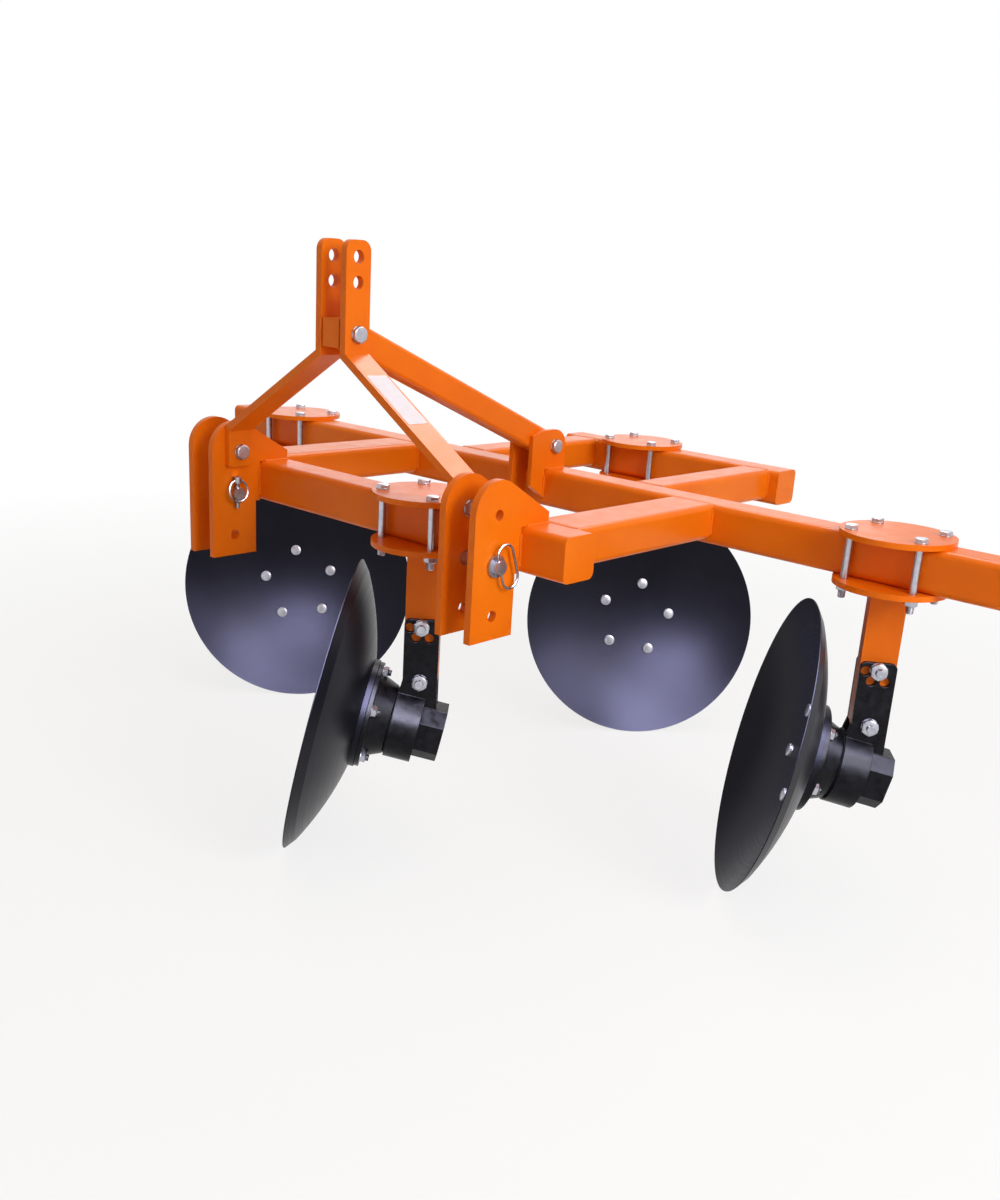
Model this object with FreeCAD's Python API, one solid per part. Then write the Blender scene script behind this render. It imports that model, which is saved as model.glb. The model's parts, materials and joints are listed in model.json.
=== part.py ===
import FreeCAD, Part
import math
import os
from FreeCAD import Vector, Rotation, Placement

# Disc ridger, mounted, four discs. Lengths in mm, angles in degrees.
# +X is the driver's left, +Y points rearwards, +Z up. The origin lies on the ground
# under the middle of the machine's outline seen from above.

X = Vector(1, 0, 0)
Y = Vector(0, 1, 0)
Z = Vector(0, 0, 1)

# Discs
DISC_R = 330.0              # a 660 mm plain disc
DISC_T = 6.0
DISH_R = 640.0              # radius of the hollow face
DISC_EDGE_T = 2.0           # left at the sharpened rim
DISC_BEVEL = 22.0           # radial width of the sharpened band
TILT = 12.0                 # hub axis above the horizontal
HUB_DROP = 475.0            # rim centre below the tops of the beams
HUB_REACH = 212.0           # rim centre ahead of the shank's centre line
DISC_BOLTS = 5
DISC_BOLT_RING = 102.0      # radius of the circle the bolts sit on
DISC_BOLT_R = 7.0
DISC_HEAD_R = 15.0
DISC_HEAD_H = 6.0
DISC_NUT_FLATS = 22.0
DISC_NUT_H = 12.0

# Beams and rails
MAIN_Y = 127.9              # the main toolbar's centre line
FRONT_SPACING = 560.0
REAR_SPACING = 578.0
TUBE = 91.5
TUBE_WALL = 5.4
TUBE_CORNER = 14.0
CAP_T = 5.0
RAIL_H = 80.0
RAIL_WALL = 5.0
FRONT_RAIL_W = 120.0
REAR_RAIL_W = 92.0
MAIN_LEN = 2500.0
FRONT_LEN = 1142.0
REAR_LEN = 740.0
FRONT_RAIL_X = 475.0
REAR_RAIL_X = 294.0
RIGHT_INSET = 270.0         # outer clamps in from the toolbar's ends
LEFT_INSET = 299.0
FRONT_UNIT_X = 154.0
REAR_UNIT_X = -117.0

# Lower hitch, category II
HITCH_SPREAD = 825.0
CLEVIS_GAP = 62.0
PLATE_T = 16.0
PLATE_FORWARD = 130.0
PLATE_DROP = 215.0
PLATE_CREST = 97.0
PLATE_HEEL = 80.0           # how far the plate lies back over the front beam
PLATE_HEEL_H = 22.0
PLATE_STEP = 12.0           # below the beam the plate stands clear of its front face
LOWER_PIN_R = 14.0
LOWER_PIN_Z = -67.0         # heights on the hitch and mast count from the beam tops
SPARE_PIN_R = 11.2          # category I pin
SPARE_HOLE_Z = -167.0
PIN_PLAY = 0.4
PIN_HEAD_R = 22.0
PIN_HEAD_T = 7.0
PIN_KNOB = 12.0             # knob beyond the head, bored for the handle ring
PIN_TAIL = 20.0             # pin beyond the inner plate
TAB_BOLT_Z = 30.0

# Linch pins and the hitch pins' handle rings
LINCH_R = 5.0
LINCH_PLAY = 0.3
LINCH_OUT = 11.0            # linch pin beyond the inner plate
LINCH_BELOW = 34.0          # its tip and head from the hitch pin's axis
LINCH_ABOVE = 24.0
LINCH_HEAD_R = 9.0
LINCH_HEAD_H = 14.0
WIRE_R = 2.5
SNAP_RING_R = 25.0          # round ring, from its centre to the middle of its wire
SNAP_LEAN = 10.0
HANDLE_W = 48.0
HANDLE_H = 96.0
HANDLE_SAG = 10.0           # its middle below the pin's axis
HANDLE_LEAN = 20.0          # its top swings forward
WIRE_PLAY = 0.3

# Mast
BAR_W = 64.0
BAR_T = 16.0
BAR_CORNER = 22.0
TAB_CORNER = 8.0
MAST_GAP = 60.0
MAST_TOP = 505.0
TOP_PIN_R = 12.7
TOP_PIN_PLAY = 0.3
TOP_PIN_Z = 473.0
TOP_PIN_STEP = 49.0
MAST_BEND_Z = 277.0
TAB_BEND_Z = 78.0
TAB_END_Z = -4.0
BIG_BOLT_R = 10.0           # M20, used on the mast, the strut and the hub carriers
BIG_BOLT_FLATS = 30.0

# Strut from the mast to the main toolbar
STRUT_D = 62.0
STRUT_W = 50.0
STRUT_WALL = 5.0
STRUT_CORNER = 10.0
STRUT_SIDE_PLAY = 0.5
STRUT_SET_IN = 1.0          # its upper end behind the mast bars' front edges
STRUT_BOLT_Z = 324.0
STRUT_END_AHEAD = 12.0      # lower bolt ahead of the toolbar's centre line
STRUT_END_Z = 56.0
LUG_T = 12.0
LUG_R = 41.0                # round the lower bolt
LUG_FORWARD = 50.0          # ahead of the toolbar's front face
LUG_CUT_Y = 38.0
LUG_CUT_Z = 12.0
LUG_LOW = 38.0              # straight front edge ends below the beam tops
LUG_TAIL = 70.0

# Clamps
CLAMP_R = 118.0
CLAMP_T = 12.0
CLAMP_BOLT_R = 8.0
CLAMP_BOLT_X = 75.0
CLAMP_BOLT_Y = 60.0
CLAMP_BOLT_FLATS = 24.0
HOLE_PLAY = 0.75
BOLT_TAIL = 16.0

# Shanks and hub carriers
SHANK_U = 76.0
SHANK_W = 35.0
SHANK_TOE = 36.0            # shank past the pivot
CHEEK_T = 10.0
CHEEK_PLAY = 0.6
CHEEK_TOP = 262.0           # below the beam tops
CHEEK_CORNER = 12.0
PIVOT_DROP = 403.0
LOCK_ROW_R = 125.0
ROW_STEP = 24.0
LOCK_ANGLES = (0.0, 12.0)
NEAR_ANGLES = (-9.5, 7.0)
TOE_ROOM = 6.0
FLANGE_R = 119.0
FLANGE_T = 10.0
HUB_BASE_R = 96.0
HUB_NOSE_R = 78.0
HUB_LEN = 151.0             # from the rim centre to the end of the turning boss
SEAL_GAP = 2.5
HOUSING_R = 82.0
HOUSING_LEN = 61.5
BLOCK_LEN = 55.0
BLOCK_SIDE = 118.0
BLOCK_CUT = 28.0
SPINDLE_R = 30.0
SPINDLE_LEN = 54.0
SPINDLE_PLAY = 0.05
SPINDLE_ROOM = 1.0
DISC_SEAT = 0.3             # gap between the disc's flat seat and the flange
SEAT_MARGIN = 3.0           # the seat is this much wider than the flange

tilt = math.radians(TILT)
FRONT_Y = MAIN_Y - FRONT_SPACING
REAR_Y = MAIN_Y + REAR_SPACING
BEAM_TOP = HUB_DROP + DISC_R * math.cos(tilt) + DISC_EDGE_T * math.sin(tilt)
BEAM_FRONT_Y = FRONT_Y - TUBE / 2
HITCH_Y = BEAM_FRONT_Y - PLATE_FORWARD / 2
PIN_Y = HITCH_Y - PLATE_STEP / 2
DISH_DEPTH = DISH_R - math.sqrt(DISH_R ** 2 - DISC_R ** 2)
BIG_HOLE_R = BIG_BOLT_R + HOLE_PLAY

# name, beam's Y, clamp's X, turn of the hub axis off straight ahead, side the hollow faces,
# turn of the bolt pattern on the hub axis
UNITS = (
    ("right", MAIN_Y, RIGHT_INSET - MAIN_LEN / 2, 51.5, 1, -6.0),
    ("front", FRONT_Y, FRONT_UNIT_X, 48.5, -1, -8.0),
    ("rear", REAR_Y, REAR_UNIT_X, 47.0, 1, 10.0),
    ("left", MAIN_Y, MAIN_LEN / 2 - LEFT_INSET, 54.0, -1, 36.0),
)


def save(name, *solids):
    shape = solids[0] if len(solids) == 1 else Part.makeCompound(list(solids))
    shape.exportStep(os.path.join("parts", name + ".step"))


def cyl(radius, length, base, axis):
    return Part.makeCylinder(radius, length, base, axis)


def box(x0, x1, y0, y1, z0, z1):
    return Part.makeBox(x1 - x0, y1 - y0, z1 - z0, Vector(x0, y0, z0))


def mirror_x(shape):
    return shape.mirror(Vector(0, 0, 0), X)


def edges_along(solid, way):
    """The straight edges of a solid that run along one direction."""
    return [e for e in solid.Edges if abs(e.tangentAt(e.FirstParameter).dot(way)) > 0.99]


def hexagon(flats, height, base, axis):
    """Hexagonal prism standing on base, along axis."""
    reach = flats / math.sqrt(3)
    ring = [Vector(reach * math.cos(math.radians(60 * i)), reach * math.sin(math.radians(60 * i)), 0)
            for i in range(7)]
    prism = Part.Face(Part.makePolygon(ring)).extrude(Vector(0, 0, height))
    prism.Placement = Placement(base, Rotation(Z, axis))
    return prism


def cross_bolt(radius, flats, grip, centre, axis):
    """Bolt lying along axis through centre: hexagon head one side, nut and tail the other."""
    nut_t = flats * 0.5
    start = centre - axis * (grip / 2)
    end = centre + axis * (grip / 2)
    rod = cyl(radius, grip + nut_t + radius, start - axis * (nut_t + radius), axis)
    head = hexagon(flats, flats * 0.42, end, axis)
    nut = hexagon(flats, nut_t, start, axis * -1)
    return rod.fuse([head, nut])


def rounded_bar(width, depth, corner, length):
    """Bar with round corners, centred on the Z axis and standing on the origin."""
    solid = Part.makeBox(width, depth, length, Vector(-width / 2, -depth / 2, 0))
    return solid.makeFillet(corner, edges_along(solid, Z))


def tube(width, depth, wall, corner, length):
    """Hollow section along +Z from the origin."""
    inside = rounded_bar(width - 2 * wall, depth - 2 * wall, corner - wall, length)
    return rounded_bar(width, depth, corner, length).cut(inside)


def lay_x(shape, x0, y, z):
    """Lay a piece built along Z down along +X; its depth stays upright."""
    shape.Placement = Placement(Vector(x0, y, z), Rotation(Y, Z, X, "ZXY"))
    return shape


def lay_y(shape, x, y0, z):
    """Lay a piece built along Z down along +Y; its depth stays upright."""
    shape.Placement = Placement(Vector(x, y0, z), Rotation(X, Z, Y, "ZYX"))
    return shape


def beam(name, length, y):
    """Square beam across the machine. Returns the flat caps that close its ends."""
    run = length - 2 * CAP_T
    centre_z = BEAM_TOP - TUBE / 2
    save(name, lay_x(tube(TUBE, TUBE, TUBE_WALL, TUBE_CORNER, run), -run / 2, y, centre_z))
    return [lay_x(rounded_bar(TUBE, TUBE, TUBE_CORNER, CAP_T), x0, y, centre_z)
            for x0 in (-length / 2, run / 2)]


def rails(name, x, width, y0, y1):
    """One rail each side, its top level with the beams' tops."""
    rail = lay_y(tube(width, RAIL_H, RAIL_WALL, TUBE_CORNER, y1 - y0), x, y0, BEAM_TOP - RAIL_H / 2)
    save(name + "_left", rail)
    save(name + "_right", mirror_x(rail))


def frame():
    caps = beam("main_toolbar", MAIN_LEN, MAIN_Y)
    caps += beam("front_beam", FRONT_LEN, FRONT_Y)
    caps += beam("rear_beam", REAR_LEN, REAR_Y)
    save("end_caps", *caps)
    half = TUBE / 2
    rails("front_rail", FRONT_RAIL_X, FRONT_RAIL_W, FRONT_Y + half, MAIN_Y - half)
    rails("rear_rail", REAR_RAIL_X, REAR_RAIL_W, MAIN_Y + half, REAR_Y - half)


def plate_outline():
    """Side of a hitch plate: round crest, long heel over the beam, stepped square foot."""
    crest_r = PLATE_FORWARD / 2
    heel = Vector(0, BEAM_FRONT_Y + PLATE_HEEL, BEAM_TOP + PLATE_HEEL_H)
    centre = Vector(0, HITCH_Y, BEAM_TOP + PLATE_CREST - crest_r)
    reach = heel - centre
    lean = math.atan2(reach.z, reach.y) + math.acos(crest_r / reach.Length)
    leave = centre + Vector(0, crest_r * math.cos(lean), crest_r * math.sin(lean))
    start = centre - Vector(0, crest_r, 0)
    arc = Part.Arc(start, centre + Vector(0, 0, crest_r), leave).toShape()
    heel_foot = Vector(0, heel.y, BEAM_TOP)
    corner = Vector(0, BEAM_FRONT_Y, BEAM_TOP)
    under = Vector(0, BEAM_FRONT_Y, BEAM_TOP - TUBE)
    step = under - Y * PLATE_STEP
    foot = Vector(0, step.y, BEAM_TOP - PLATE_DROP)
    toe = Vector(0, BEAM_FRONT_Y - PLATE_FORWARD, foot.z)
    rest = Part.makePolygon([leave, heel, heel_foot, corner, under, step, foot, toe, start])
    return Part.Face(Part.Wire([arc] + rest.Edges))


def hitch_plate(x0):
    plate = plate_outline().extrude(Vector(PLATE_T, 0, 0))
    plate.translate(Vector(x0, 0, 0))
    holes = ((LOWER_PIN_R + PIN_PLAY, PIN_Y, LOWER_PIN_Z),
             (SPARE_PIN_R + PIN_PLAY, PIN_Y, SPARE_HOLE_Z),
             (BIG_HOLE_R, HITCH_Y, TAB_BOLT_Z))
    for radius, y, z in holes:
        plate = plate.cut(cyl(radius, PLATE_T, Vector(x0, y, BEAM_TOP + z), X))
    return plate


def linch_pin(x, z):
    """Spring pin down through the hitch pin's tail, its ring snapped round the tail."""
    shaft = cyl(LINCH_R, LINCH_BELOW + LINCH_ABOVE, Vector(x, PIN_Y, z - LINCH_BELOW), Z)
    head = cyl(LINCH_HEAD_R, LINCH_HEAD_H, Vector(x, PIN_Y, z + LINCH_ABOVE), Z)
    hinge = Vector(x, PIN_Y, z + LINCH_ABOVE + LINCH_HEAD_H / 2)
    ring = Part.makeTorus(SNAP_RING_R, WIRE_R, hinge - Z * SNAP_RING_R, X)
    ring.rotate(hinge, Y, SNAP_LEAN)
    return shaft.fuse([head, ring])


def handle_ring(knob):
    """Oval wire ring; its forward straight side runs through the middle of the pin's knob."""
    bend_r = HANDLE_W / 2 - WIRE_R
    half = (HANDLE_H - HANDLE_W) / 2
    centre = knob + Y * bend_r - Z * HANDLE_SAG
    sides = [cyl(WIRE_R, 2 * half, centre + Y * shift - Z * half, Z) for shift in (-bend_r, bend_r)]
    bends = []
    for way in (-1, 1):
        whole = Part.makeTorus(bend_r, WIRE_R, centre + Z * (way * half), X)
        keep = Part.makeBox(HANDLE_W, HANDLE_W, HANDLE_W)
        keep.translate(centre + Z * (way * (half + HANDLE_W / 2)) - Vector(1, 1, 1) * (HANDLE_W / 2))
        bends.append(whole.common(keep))
    ring = sides[0].fuse(sides[1:] + bends)
    ring.rotate(knob, X, HANDLE_LEAN)
    return ring


def hitch_pin(inner_x, outer_x, linch_x, knob_x):
    """Pin across the clevis: tail inwards, round head against the outer plate, bored knob."""
    z = BEAM_TOP + LOWER_PIN_Z
    face = Vector(outer_x + PLATE_T, PIN_Y, z)
    knob = Vector(knob_x, PIN_Y, z)
    tail = Vector(inner_x - PIN_TAIL, PIN_Y, z)
    pin = cyl(LOWER_PIN_R, knob_x + PIN_KNOB / 2 - tail.x, tail, X)
    pin = pin.fuse(cyl(PIN_HEAD_R, PIN_HEAD_T, face, X))
    reach = 2 * LOWER_PIN_R
    pin = pin.cut(cyl(LINCH_R + LINCH_PLAY, 2 * reach, Vector(linch_x, PIN_Y, z - reach), Z))
    drill = cyl(WIRE_R + WIRE_PLAY, 2 * reach, knob - Z * reach, Z)
    drill.rotate(knob, X, HANDLE_LEAN)
    return pin.cut(drill)


def lower_hitch():
    inner_x = HITCH_SPREAD / 2 - CLEVIS_GAP / 2 - PLATE_T
    outer_x = HITCH_SPREAD / 2 + CLEVIS_GAP / 2
    for name, x0 in (("inner", inner_x), ("outer", outer_x)):
        plate = hitch_plate(x0)
        save("hitch_plate_" + name + "_left", plate)
        save("hitch_plate_" + name + "_right", mirror_x(plate))

    pin_z = BEAM_TOP + LOWER_PIN_Z
    linch_x = inner_x - LINCH_OUT
    knob_x = outer_x + PLATE_T + PIN_HEAD_T + PIN_KNOB / 2
    pin = hitch_pin(inner_x, outer_x, linch_x, knob_x)
    save("hitch_pins", pin, mirror_x(pin))
    loose = [linch_pin(linch_x, pin_z), handle_ring(Vector(knob_x, PIN_Y, pin_z))]
    save("linch_pins", *(loose + [mirror_x(piece) for piece in loose]))


def tab_x():
    """Inner face of the mast tab that lies against the inner hitch plate."""
    return HITCH_SPREAD / 2 - CLEVIS_GAP / 2 - PLATE_T - BAR_T


def mast_side(length):
    """Side view of a mast bar carried along +X: round top, tab foot with eased corners."""
    half = BAR_W / 2
    solid = box(0, length, HITCH_Y - half, HITCH_Y + half, BEAM_TOP + TAB_END_Z, BEAM_TOP + MAST_TOP)
    middle = solid.CenterOfMass.z
    tops = [e for e in edges_along(solid, X) if e.CenterOfMass.z > middle]
    solid = solid.makeFillet(BAR_CORNER, tops)
    feet = [e for e in edges_along(solid, X) if e.CenterOfMass.z < middle]
    return solid.makeFillet(TAB_CORNER, feet)


def mast_bar():
    """One bent flat bar: upright, splayed leg and upright tab."""
    inner_x = MAST_GAP / 2
    slope = math.atan2(MAST_BEND_Z - TAB_BEND_Z, tab_x() - inner_x)
    shift = BAR_T * math.tan((math.pi / 2 - slope) / 2)
    inside = [Vector(inner_x, 0, MAST_TOP), Vector(inner_x, 0, MAST_BEND_Z),
              Vector(tab_x(), 0, TAB_BEND_Z), Vector(tab_x(), 0, TAB_END_Z)]
    outside = [Vector(tab_x() + BAR_T, 0, TAB_END_Z), Vector(tab_x() + BAR_T, 0, TAB_BEND_Z + shift),
               Vector(inner_x + BAR_T, 0, MAST_BEND_Z + shift), Vector(inner_x + BAR_T, 0, MAST_TOP)]
    bar = Part.Face(Part.makePolygon(inside + outside + inside[:1])).extrude(Vector(0, BAR_W, 0))
    bar.translate(Vector(0, HITCH_Y - BAR_W / 2, BEAM_TOP))
    bar = bar.common(mast_side(tab_x() + BAR_T))

    top_pin = TOP_PIN_R + TOP_PIN_PLAY
    holes = ((top_pin, inner_x, TOP_PIN_Z), (top_pin, inner_x, TOP_PIN_Z - TOP_PIN_STEP),
             (BIG_HOLE_R, inner_x, STRUT_BOLT_Z), (BIG_HOLE_R, tab_x(), TAB_BOLT_Z))
    for radius, x0, z in holes:
        bar = bar.cut(cyl(radius, BAR_T, Vector(x0, HITCH_Y, BEAM_TOP + z), X))
    return bar


def strut_ends():
    """The strut's upper and lower bolt centres."""
    high = Vector(0, HITCH_Y, BEAM_TOP + STRUT_BOLT_Z)
    low = Vector(0, MAIN_Y - STRUT_END_AHEAD, BEAM_TOP + STRUT_END_Z)
    return high, low


def strut():
    """Hollow strut, its upper end a square block and its lower end round, bored for two bolts."""
    high, low = strut_ends()
    span = low - high
    body = tube(STRUT_W, STRUT_D, STRUT_WALL, STRUT_CORNER, span.Length)
    body.Placement = Placement(high, Rotation(X, Vector(0, 0, 0), span, "ZXY"))
    side = X * (STRUT_W / 2)
    rise = X.cross(span) * (STRUT_D / 2 / span.Length)
    block = box(-side.x, side.x, HITCH_Y - BAR_W / 2 + STRUT_SET_IN, high.y + rise.y,
                high.z - rise.z, high.z + rise.z)
    body = body.fuse([block, cyl(STRUT_D / 2, STRUT_W, low - side, X)])
    return body.cut(Part.makeCompound([cyl(BIG_HOLE_R, STRUT_W, end - side, X) for end in (high, low)]))


def lug():
    """Left strut lug: round over the bolt, cut corner, tail down the toolbar's front."""
    bolt = strut_ends()[1]
    face_y = MAIN_Y - TUBE / 2
    nose_y = face_y - LUG_FORWARD
    back = bolt + Vector(0, LUG_R, 0)
    top = bolt + Vector(0, 0, LUG_R)
    middle = bolt + Vector(0, LUG_R, LUG_R) * math.sqrt(0.5)
    arc = Part.Arc(back, middle, top).toShape()
    line = Part.makePolygon([
        top,
        Vector(0, nose_y + LUG_CUT_Y, top.z),
        Vector(0, nose_y, top.z - LUG_CUT_Z),
        Vector(0, nose_y, BEAM_TOP - LUG_LOW),
        Vector(0, face_y, BEAM_TOP - LUG_TAIL),
        Vector(0, face_y, BEAM_TOP),
        Vector(0, back.y, BEAM_TOP),
        back])
    plate = Part.Face(Part.Wire([arc] + line.Edges)).extrude(Vector(LUG_T, 0, 0))
    x0 = STRUT_W / 2 + STRUT_SIDE_PLAY
    plate.translate(Vector(x0, 0, 0))
    return plate.cut(cyl(BIG_HOLE_R, LUG_T, bolt + X * x0, X))


def mast():
    bar = mast_bar()
    save("mast_bar_left", bar)
    save("mast_bar_right", mirror_x(bar))
    save("mast_strut", strut())
    save("strut_lugs", lug(), mirror_x(lug()))

    high, low = strut_ends()
    tab_grip = BAR_T + PLATE_T
    tab = cross_bolt(BIG_BOLT_R, BIG_BOLT_FLATS, tab_grip,
                     Vector(tab_x() + tab_grip / 2, HITCH_Y, BEAM_TOP + TAB_BOLT_Z), X * -1)
    save("mast_bolts",
         cross_bolt(BIG_BOLT_R, BIG_BOLT_FLATS, MAST_GAP + 2 * BAR_T, high, X),
         cross_bolt(BIG_BOLT_R, BIG_BOLT_FLATS, STRUT_W + 2 * (STRUT_SIDE_PLAY + LUG_T), low, X),
         tab, mirror_x(tab))


def clamp_plate(z0):
    """Round clamp plate with its four bolt holes."""
    plate = cyl(CLAMP_R, CLAMP_T, Z * z0, Z)
    for x in (-CLAMP_BOLT_X, CLAMP_BOLT_X):
        for y in (-CLAMP_BOLT_Y, CLAMP_BOLT_Y):
            plate = plate.cut(cyl(CLAMP_BOLT_R + HOLE_PLAY, CLAMP_T, Vector(x, y, z0), Z))
    return plate


def clamp_bolts():
    """Four long bolts round the beam, heads on top."""
    low = -TUBE - CLAMP_T
    nut_t = CLAMP_BOLT_FLATS * 0.54
    length = CLAMP_T - low + nut_t + BOLT_TAIL
    bolts = []
    for x in (-CLAMP_BOLT_X, CLAMP_BOLT_X):
        for y in (-CLAMP_BOLT_Y, CLAMP_BOLT_Y):
            rod = cyl(CLAMP_BOLT_R, length, Vector(x, y, CLAMP_T), Z * -1)
            nut = hexagon(CLAMP_BOLT_FLATS, nut_t, Vector(x, y, low), Z * -1)
            head = hexagon(CLAMP_BOLT_FLATS, CLAMP_BOLT_FLATS * 0.42, Vector(x, y, CLAMP_T), Z)
            bolts.append(rod.fuse([nut, head]))
    return bolts


# A unit is built under its clamp at the origin, with the disc ahead along +X.

HUB_AXIS = Vector(math.cos(tilt), 0, math.sin(tilt))
HUB_ACROSS = Vector(-math.sin(tilt), 0, math.cos(tilt))


def shank_bar():
    """Flat bar with a round toe, drilled for the pivot and the tilt setting."""
    bar = box(-SHANK_U / 2, SHANK_U / 2, -SHANK_W / 2, SHANK_W / 2, -PIVOT_DROP, -TUBE - CLAMP_T)
    bar = bar.fuse(cyl(SHANK_TOE, SHANK_W, Vector(0, -SHANK_W / 2, -PIVOT_DROP), Y))
    for z in (-PIVOT_DROP, LOCK_ROW_R - PIVOT_DROP):
        bar = bar.cut(cyl(BIG_HOLE_R, SHANK_W, Vector(0, -SHANK_W / 2, z), Y))
    return bar


def hub_point(back):
    """A point on the hub axis, given its distance behind the rim centre."""
    return Vector(HUB_REACH - back * math.cos(tilt), 0, -HUB_DROP - back * math.sin(tilt))


def cheek():
    """One side plate of the tilt bracket with its staggered setting holes."""
    side = Y * (SHANK_W / 2 + CHEEK_PLAY)
    reach = X * (SHANK_U / 2)
    housing = hub_point(HUB_LEN + SEAL_GAP)
    foot = housing + HUB_ACROSS * (HOUSING_R / 8)
    outline = [side - reach - Z * CHEEK_TOP, side + reach - Z * CHEEK_TOP,
               side + reach - Z * PIVOT_DROP,
               side + housing + HUB_ACROSS * HOUSING_R,
               side + foot,
               side - reach + Z * foot.z]
    plate = Part.Face(Part.makePolygon(outline + outline[:1])).extrude(Vector(0, CHEEK_T, 0))
    tops = [e for e in edges_along(plate, Y) if e.CenterOfMass.z > -CHEEK_TOP - CHEEK_T / 2]
    plate = plate.makeFillet(CHEEK_CORNER, tops)
    holes = [(0.0, 0.0)]
    holes += [(LOCK_ROW_R, angle) for angle in LOCK_ANGLES]
    holes += [(LOCK_ROW_R - ROW_STEP, angle) for angle in NEAR_ANGLES]
    for radius, angle in holes:
        turn = math.radians(angle)
        spot = side + X * (radius * math.sin(turn)) + Z * (radius * math.cos(turn) - PIVOT_DROP)
        plate = plate.cut(cyl(BIG_HOLE_R, CHEEK_T, spot, Y))
    return plate


def hub_carrier():
    """Bearing housing, square end block with cut corners and the two cheeks, one casting."""
    start = HUB_LEN + SEAL_GAP
    end = start + HOUSING_LEN
    housing = cyl(HOUSING_R, HOUSING_LEN, hub_point(start), HUB_AXIS * -1)
    side = BLOCK_SIDE / 2
    block = Part.makeBox(BLOCK_SIDE, BLOCK_SIDE, BLOCK_LEN, Vector(-side, -side, 0))
    block = block.makeChamfer(BLOCK_CUT, edges_along(block, Z))
    block.Placement = Placement(hub_point(end + BLOCK_LEN), Rotation(Y, Vector(0, 0, 0), HUB_AXIS, "ZYX"))
    carrier = housing.fuse([block, cheek(), cheek().mirror(Vector(0, 0, 0), Y)])
    room_u = SHANK_U / 2 + TOE_ROOM
    room_w = SHANK_W / 2 + CHEEK_PLAY
    room = box(-room_u, room_u, -room_w, room_w, -PIVOT_DROP - SHANK_TOE - CHEEK_PLAY, -CHEEK_TOP)
    bore_len = SPINDLE_LEN - SEAL_GAP + SPINDLE_ROOM
    bore = cyl(SPINDLE_R + SPINDLE_PLAY, bore_len, hub_point(start), HUB_AXIS * -1)
    return carrier.cut(room).cut(bore)


def bolt_spots(back, start):
    """Centres of the disc bolts, back behind the rim centre, the first one start degrees round."""
    spots = []
    for i in range(DISC_BOLTS):
        turn = math.radians(start) + 2 * math.pi * i / DISC_BOLTS
        spots.append(hub_point(back) + (HUB_ACROSS * math.cos(turn) + Y * math.sin(turn)) * DISC_BOLT_RING)
    return spots


def hub(bolt_turn):
    """Turning flange with its coned boss, the disc bolts' nuts and the spindle."""
    face = DISH_DEPTH + DISC_T + DISC_SEAT
    back = HUB_AXIS * -1
    flange = cyl(FLANGE_R, FLANGE_T, hub_point(face), back)
    base = face + FLANGE_T
    boss = Part.makeCone(HUB_BASE_R, HUB_NOSE_R, HUB_LEN - base, hub_point(base), back)
    spindle = cyl(SPINDLE_R, SPINDLE_LEN, hub_point(HUB_LEN), back)
    spots = bolt_spots(base, bolt_turn)
    nuts = [hexagon(DISC_NUT_FLATS, DISC_NUT_H, spot, back) for spot in spots]
    tails = [cyl(DISC_BOLT_R, DISC_NUT_H + DISC_BOLT_R, spot, back) for spot in spots]
    return flange.fuse([boss, spindle] + nuts + tails)


def disc(bolt_turn):
    """Spherical disc with a sharpened rim, a flat seat for the flange and its bolt heads."""
    centre = DISH_R - DISH_DEPTH
    back_r = DISH_R + DISC_T
    seat_r = FLANGE_R + SEAT_MARGIN
    inner_r = DISC_R - DISC_BEVEL

    def hollow(r):
        return Vector(r, 0, centre - math.sqrt(DISH_R ** 2 - r ** 2))

    def back(r):
        return Vector(r, 0, centre - math.sqrt(back_r ** 2 - r ** 2))

    rim = hollow(DISC_R)
    front = Part.Arc(hollow(0), hollow(DISC_R / 2), rim).toShape()
    rear = Part.Arc(back(inner_r), back((inner_r + seat_r) / 2), back(seat_r)).toShape()
    bevel = Part.makePolygon([rim, rim - Z * DISC_EDGE_T, back(inner_r)])
    seat = Part.makePolygon([back(seat_r), Vector(seat_r, 0, back(0).z), back(0), hollow(0)])
    profile = Part.Face(Part.Wire([front] + bevel.Edges + [rear] + seat.Edges))
    solid = profile.revolve(Vector(0, 0, 0), Z, 360)
    solid.Placement = Placement(hub_point(0), Rotation(Z, HUB_AXIS))

    surface = -hollow(DISC_BOLT_RING).z
    sunk = DISC_T / 2
    for spot in bolt_spots(surface + sunk, bolt_turn):
        head = cyl(DISC_HEAD_R, sunk + DISC_HEAD_H, spot, HUB_AXIS)
        top = max(head.Edges, key=lambda edge: edge.CenterOfMass.dot(HUB_AXIS))
        solid = solid.fuse(head.makeChamfer(DISC_HEAD_H / 2, [top]))
    return solid


def place(shape, x, y, turn):
    spot = shape.copy()
    spot.Placement = Placement(Vector(x, y, BEAM_TOP), Rotation(Z, turn)).multiply(shape.Placement)
    return spot


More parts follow.
